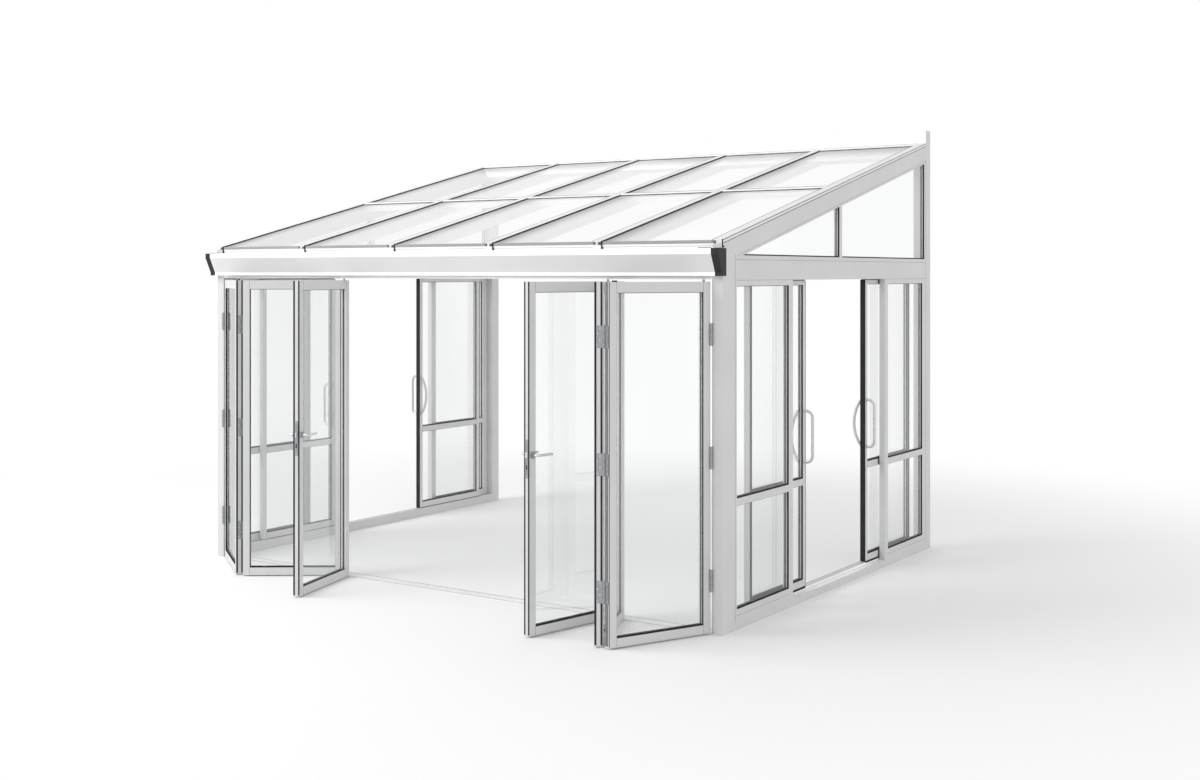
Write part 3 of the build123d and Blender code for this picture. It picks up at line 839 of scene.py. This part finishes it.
def dress_slider(kit, name, sign):
    """The brushes and joint lines of a sliding leaf."""
    low, high = box_of(f"{name}_frame")
    rear, way = (low.y, 1) if "front" in name else (high.y, -1)
    face = side_place(sign, SLIDER_X)
    brush = sorted(rear + way * reach for reach in BRUSH_SIDES)
    strip(kit["seals"], face, "zxy", (SLIDER_LOW, SLIDER_HIGH), brush, 0.0, -BRUSH_RISE)
    span = (low.y + BRUSH_INSET, high.y - BRUSH_INSET)
    strip(kit["seals"], face, "xzy", span, SKIRT_LEVELS, -SKIRT_GAP, -SKIRT_RISE)
    for depths in BRUSH_DEPTHS:
        strip(kit["seals"], face, "xyz", span, depths, SLIDER_LOW, -LOW_BRUSH_RISE)
        strip(kit["seals"], face, "xyz", span, depths, SLIDER_HIGH, HIGH_BRUSH_RISE)
    for base, rise in ((0.0, -SEAM_RISE), (SLIDER_DEPTH, SEAM_RISE)):
        for y in (low.y + SLIDER_STILE, high.y - SLIDER_STILE):
            for rail in RAILS:
                seam(kit["joints"], face, "zxy", rail, y, base, rise)


for side, sign in (("right", 1), ("left", -1)):
    kit = new_kit()
    dress_wall(kit, side, sign)
    finish_kit(f"{side}_wall", kit, "frame")
    for end in ("front", "back"):
        name = f"{side}_{end}_slider"
        kit = new_kit()
        dress_slider(kit, name, sign)
        finish_kit(name, kit, name)


# Roof: the heights of the panes and bars over the slope, and the gaskets along the caps and bars
RAFTER_CENTRES = [(i - 2.5) * BAY for i in range(6)]
RAFTER_HALF = 0.031
PANE_TOP = CAP_SEAT * math.cos(PITCH)
BAR_TOP = CAP_TOP * math.cos(PITCH)
PURLIN = (1.495, 1.555)
RIDGE_BAR = (3.130, 3.214)
GASKET_WIDTH = 0.009
CAP_GASKET_RISE = 0.0054
BAR_GASKET_RISE = 0.0030
BAR_LINE = (0.0100, 0.0010)
BAR_LINE_RISE = 0.0006
EDGE_SEAL_START = 0.001
EDGE_SEAL_WIDTH = 0.003
EDGE_SEAL_GAP = 0.0006
EDGE_SEAL_RISE = 0.0140

# The eaves, and the seals that hang at the rafter ends
PANE_EDGE = (2.3420, 2.3620)
PANE_EDGE_RISE = 0.0012
EAVES_LINE = 2.327
NOSE_BASE = 2.315
NOSE_DEPTHS = (-0.059, -0.051)
NOSE_SEAL_START = 0.004
NOSE_SEAL_RISE = 0.0045
CURL_REACH = 0.006
CURL_RISE = 0.007
CURL = ((0.0050, 0), (0.0065, 0.0010), (0.0065, 0.0070), (0.0050, 0.0080))

# The front: the gutter, the inner corners of the posts, and the threshold
POST_INNER = 2.130
POST_SEAL = (2.1305, 2.1335)
POST_SEAL_RISE = 0.0012
HEAD = 2.126
GUTTER_BASE = 2.146
GUTTER_SEAL = (-0.062, -0.052)
GUTTER_SEAL_RISE = 0.0018
GUTTER_TOP = 2.312
GUTTER_LIP = (-0.149, -0.143)
GUTTER_BEAD = (2.085, 2.175)
GUTTER_BEAD_RISE = 0.0040
THRESHOLD_TOP = 0.006
THRESHOLD_LINE = 0.0465
THRESHOLD_LINE_WIDTH = 0.0045

# The whole object's own frame, as a place
GROUND = Matrix()


def dress_rafters(kit, roof):
    """The gaskets beside the caps, the seals at the panes' edges, and the seals at the rafter ends."""
    ridge = up_pitch(RIDGE_BAR[0])
    runs = ((EDGE_SEAL_START, up_pitch(PURLIN[0])), (up_pitch(PURLIN[1]), ridge))
    levels = (NOSE_BASE + NOSE_SEAL_START, RAFTER_TOP + CAP_TOP)
    for x in RAFTER_CENTRES:
        for way in (-1, 1):
            side = x + way * RAFTER_HALF
            if abs(side) > RAFTER_CENTRES[-1]:
                continue
            gasket = sorted((side, side + way * GASKET_WIDTH))
            strip(kit["seals"], roof, "xyz", (0, ridge), gasket, PANE_TOP, CAP_GASKET_RISE)
            edge = sorted((side, side + way * EDGE_SEAL_WIDTH))
            for run in runs:
                strip(kit["seals"], roof, "xyz", run, edge, PANE_TOP - EDGE_SEAL_GAP, -EDGE_SEAL_RISE)
        side = x + RAFTER_HALF
        strip(kit["seals"], GROUND, "zyx", levels, NOSE_DEPTHS, side, NOSE_SEAL_RISE)
        spot = (side + CURL_REACH, NOSE_DEPTHS[0], NOSE_BASE + CURL_RISE)
        lathe(kit["seals"], facing(GROUND, spot, (0, 1, 0)), CURL, SMALL_SEGMENTS)


def dress_bays(kit, roof):
    """The edges of the panes over the eaves, and the gaskets of the purlins and ridge bars."""
    for low, high in zip(RAFTER_CENTRES[:-1], RAFTER_CENTRES[1:]):
        span = (low + RAFTER_HALF, high - RAFTER_HALF)
        strip(kit["edges"], GROUND, "xzy", span, PANE_EDGE, FRONT_FACE, -PANE_EDGE_RISE)
        seam(kit["joints"], GROUND, "xzy", span, EAVES_LINE, FRONT_FACE)
        for front, back in (PURLIN, RIDGE_BAR):
            gasket = (up_pitch(front) - GASKET_WIDTH, up_pitch(front))
            line = [up_pitch(back) - inset for inset in BAR_LINE]
            strip(kit["seals"], roof, "yxz", span, gasket, PANE_TOP, BAR_GASKET_RISE)
            strip(kit["seals"], roof, "yxz", span, line, BAR_TOP, BAR_LINE_RISE)


def dress_front(kit):
    """The seal under the gutter, the beads at its ends, the posts' seals and the threshold's lines."""
    front = (-POST_INNER, POST_INNER)
    strip(kit["seals"], GROUND, "xyz", front, GUTTER_SEAL, GUTTER_BASE, -GUTTER_SEAL_RISE)
    for way in (-1, 1):
        corner = sorted(way * reach for reach in POST_SEAL)
        bead = sorted(way * reach for reach in GUTTER_BEAD)
        line = way * THRESHOLD_LINE
        strip(kit["seals"], GROUND, "zxy", (THRESHOLD_TOP, HEAD), corner, FRONT_FACE, -POST_SEAL_RISE)
        strip(kit["seals"], GROUND, "xyz", bead, GUTTER_LIP, GUTTER_TOP, GUTTER_BEAD_RISE)
        seam(kit["joints"], GROUND, "xyz", front, line, THRESHOLD_TOP, SEAM_RISE, THRESHOLD_LINE_WIDTH)


kit = new_kit()
roof = slope_place(0, (1, 0, 0))
dress_rafters(kit, roof)
dress_bays(kit, roof)
dress_front(kit)
finish_kit("roof", kit, "frame")


# Stage: the floor, which fades to white between two distances from its middle, and the light
FLOOR_REACH = 80
FLOOR_COLOUR = (0.9, 0.9, 0.9, 1)
FLOOR_ROUGHNESS = 0.8
FLOOR_MIDDLE = (0, 1.6, 0)
FLOOR_FADE = (3.0, 7.5)
HORIZON_LIGHT = 1.46
ZENITH_LIGHT = 0.52
LAMP_PLACE = (-6, -6, 8)
LAMP_TARGET = (0, 1.6, 1)
LAMP_SIZE = 7
LAMP_POWER = 650

# The photograph's viewpoint
SENSOR_WIDTH = 36
CAMERA_LENS = 43.456
CAMERA_SHIFT = -0.0973
CAMERA_PLACE = (6.4013, -7.6228, 2.1625)
CAMERA_TURN = (math.radians(90), 0, math.radians(33.8626))


def sight(tree):
    """1 for the rays that show the background: from the camera, in reflections and through glass."""
    rays = node(tree, "ShaderNodeLightPath").outputs
    either = maths(tree, "MAXIMUM", rays["Is Camera Ray"], rays["Is Glossy Ray"])
    return maths(tree, "MAXIMUM", either, rays["Is Transmission Ray"])


def make_floor():
    """A plain pale floor that fades into the white background away from the object."""
    mesh = bpy.data.meshes.new("floor")
    corners = [(x * FLOOR_REACH, y * FLOOR_REACH, 0) for x, y in ((-1, -1), (1, -1), (1, 1), (-1, 1))]
    mesh.from_pydata(corners, [], [(0, 1, 2, 3)])
    floor = bpy.data.objects.new("floor", mesh)
    bpy.context.collection.objects.link(floor)
    material, tree, shader = new_material("floor")
    shader.inputs["Base Color"].default_value = FLOOR_COLOUR
    shader.inputs["Roughness"].default_value = FLOOR_ROUGHNESS
    place = node(tree, "ShaderNodeNewGeometry").outputs["Position"]
    offset = node(tree, "ShaderNodeVectorMath", {"operation": "SUBTRACT"}, i0=place, i1=FLOOR_MIDDLE)
    away = node(tree, "ShaderNodeVectorMath", {"operation": "LENGTH"}, i0=offset.outputs[0])
    factor = maths(tree, "MULTIPLY", fade(tree, away.outputs["Value"], FLOOR_FADE), sight(tree))
    white = node(tree, "ShaderNodeEmission", Color=WHITE, Strength=1).outputs[0]
    mixed = mix(tree, factor, shader.outputs[0], white)
    tree.links.new(mixed, tree.nodes["Material Output"].inputs["Surface"])
    mesh.materials.append(material)


def make_world():
    """A white background, and soft light that is stronger from the horizon than from above."""
    world = bpy.data.worlds.new("studio")
    bpy.context.scene.world = world
    world.use_nodes = True
    tree = world.node_tree
    light = tree.nodes["Background"]
    direction = node(tree, "ShaderNodeTexCoord").outputs["Generated"]
    height = node(tree, "ShaderNodeSeparateXYZ", Vector=direction).outputs["Z"]
    level = node(
        tree, "ShaderNodeMapRange",
        Value=height, From_Min=0.0, From_Max=1.0, To_Min=HORIZON_LIGHT, To_Max=ZENITH_LIGHT,
    )
    light.inputs["Color"].default_value = WHITE
    tree.links.new(level.outputs[0], light.inputs["Strength"])
    white = node(tree, "ShaderNodeBackground", Color=WHITE, Strength=1).outputs[0]
    mixed = mix(tree, sight(tree), light.outputs[0], white)
    tree.links.new(mixed, tree.nodes["World Output"].inputs["Surface"])


def make_lamp():
    """A large soft lamp, in front of the object and to its left."""
    data = bpy.data.lights.new("key", "AREA")
    data.size = LAMP_SIZE
    data.energy = LAMP_POWER
    lamp = bpy.data.objects.new("key", data)
    lamp.location = LAMP_PLACE
    lamp.rotation_euler = (Vector(LAMP_TARGET) - Vector(LAMP_PLACE)).to_track_quat("-Z", "Y").to_euler()
    bpy.context.collection.objects.link(lamp)


def make_camera():
    """A level camera, shifted down."""
    data = bpy.data.cameras.new("camera")
    data.sensor_width = SENSOR_WIDTH
    data.lens = CAMERA_LENS
    data.shift_y = CAMERA_SHIFT
    camera = bpy.data.objects.new("camera", data)
    camera.location = CAMERA_PLACE
    camera.rotation_euler = CAMERA_TURN
    bpy.context.collection.objects.link(camera)
    bpy.context.scene.camera = camera


bpy.context.scene.view_settings.view_transform = "Standard"
make_camera()
make_world()
make_lamp()
make_floor()
